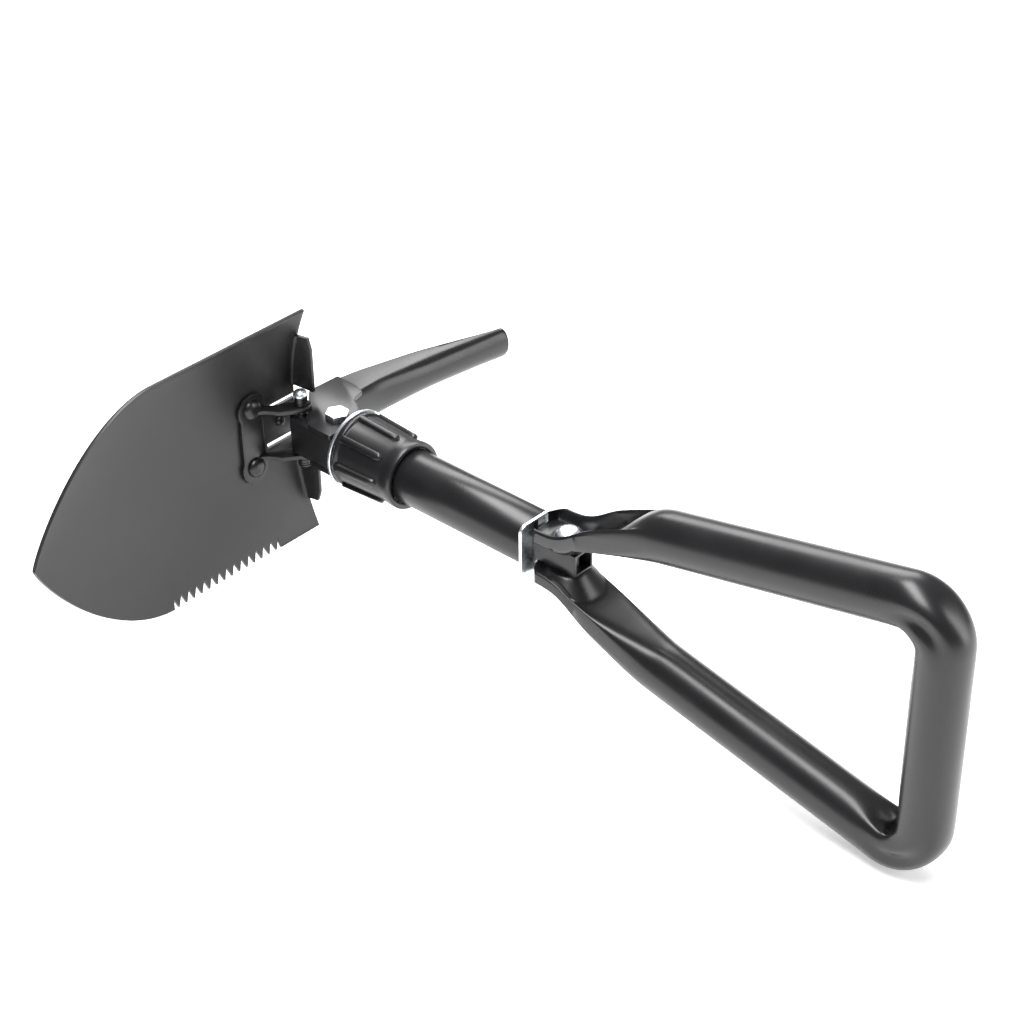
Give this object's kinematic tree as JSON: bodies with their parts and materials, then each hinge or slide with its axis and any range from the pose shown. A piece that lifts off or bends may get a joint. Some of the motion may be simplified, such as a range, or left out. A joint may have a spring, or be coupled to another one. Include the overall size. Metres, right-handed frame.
{
  "type": "folding camp shovel",
  "caption": "Folding camp shovel with a dished blade, a saw edge, a folding pick, a screw locking collar and a D-handle.",
  "frame": {"origin": "Middle of the underside of the box round the shovel at rest: blade square to the shaft like a hoe, pick square to the shaft on the other side, handle open, collar tight.", "axes": "+X runs along the shaft from the head to the grip, +Y is the way the pick points, and +Z is parallel to the three folding pins."},
  "size_m": [0.3364, 0.2486, 0.1266],
  "materials": {
    "black_paint": "satin black paint",
    "blade_paint": "satin black paint, a little greyer on the open face",
    "zinc": "bright zinc plate",
    "dark_steel": "blackened steel"
  },
  "bodies": {
    "root": {"core_tube": "black_paint", "head_lug": "black_paint", "core_pin": "dark_steel", "pick_bolt": "zinc", "pick_nut": "zinc", "pick_nut_washer": "zinc", "blade_pivot_pin": "zinc", "blade_pivot_bushes": "black_paint", "handle_rivet": "zinc", "handle_spacer": "dark_steel"},
    "blade": {"blade": "blade_paint", "blade_bracket": "black_paint", "blade_rivets": "black_paint", "stop_stud": "black_paint"},
    "pick": {"pick": "black_paint"},
    "handle": {"handle": "black_paint"},
    "sleeve": {"shaft_tube": "black_paint", "thread_sleeve": "zinc", "guide_bush": "dark_steel", "rear_plate": "zinc"},
    "washer": {"front_washer": "zinc"},
    "collar": {"collar_nut": "black_paint"}
  },
  "joints": [
    {"name": "blade_fold", "type": "hinge", "parent": "root", "child": "blade", "pos_m": [-0.1538, 0.01515, 0.0633], "axis": [0, 0, 1], "range_deg": [-90, 84]},
    {"name": "pick_fold", "type": "hinge", "parent": "root", "child": "pick", "pos_m": [-0.137, 0.01985, 0.0633], "axis": [0, 0, -1], "range_deg": [0, 50]},
    {"name": "handle_fold", "type": "hinge", "parent": "root", "child": "handle", "pos_m": [-0.01, 0.01985, 0.0633], "axis": [0, 0, 1], "range_deg": [0, 100]},
    {"name": "sleeve_slide", "type": "slide", "parent": "root", "child": "sleeve", "axis": [-1, 0, 0], "range_m": [0, 0.003]},
    {"name": "washer_slide", "type": "slide", "parent": "sleeve", "child": "washer", "axis": [1, 0, 0], "range_m": [0, 0.006]},
    {"name": "collar_turn", "type": "hinge", "parent": "washer", "child": "collar", "pos_m": [-0.1115, 0.01985, 0.0633], "axis": [1, 0, 0], "range_deg": [0, 720]}
  ],
  "couplings": [
    {"joint": "collar_turn", "follows": "sleeve_slide", "rad_per_m": 4184.6},
    {"joint": "washer_slide", "follows": "sleeve_slide", "ratio": 1.998}
  ]
}
